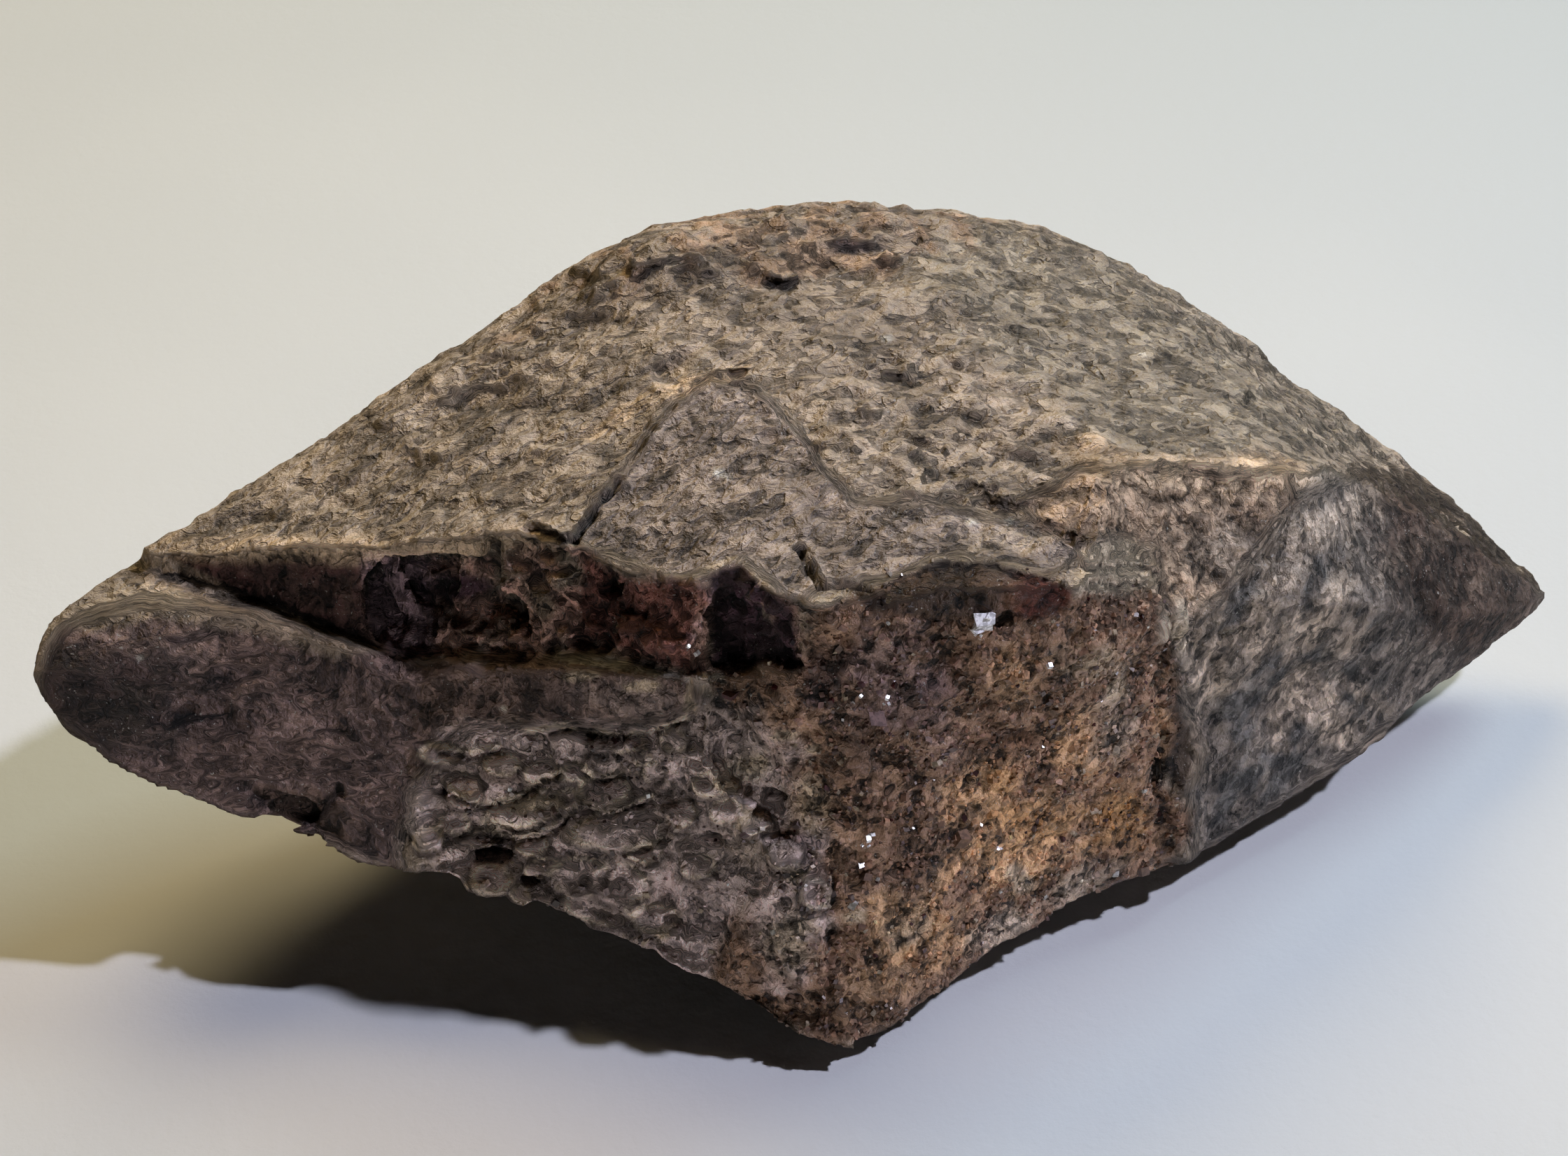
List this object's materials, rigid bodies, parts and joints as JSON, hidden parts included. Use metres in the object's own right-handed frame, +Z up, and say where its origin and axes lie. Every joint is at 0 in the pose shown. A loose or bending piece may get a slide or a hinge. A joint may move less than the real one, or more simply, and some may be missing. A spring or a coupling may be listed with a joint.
{
  "type": "glendonite specimen",
  "caption": "Natural glendonite crystal: a rough, bulged bipyramid of dark brown calcite with a broken ledge and a rusty granular fracture, lying on one lower face.",
  "frame": {"origin": "middle of the bounding box in plan, on the surface that the stone rests on", "axes": "+X along the crystal from the raised blunt tip to the low pointed tip, +Y from the broken front to the back, +Z up"},
  "size_m": [0.109, 0.0454, 0.0441],
  "materials": {
    "stone": "weathered, matt, with fine calcite grain and tan dust on the edges"
  },
  "bodies": {
    "root": {"glendonite": "stone"}
  },
  "joints": []
}
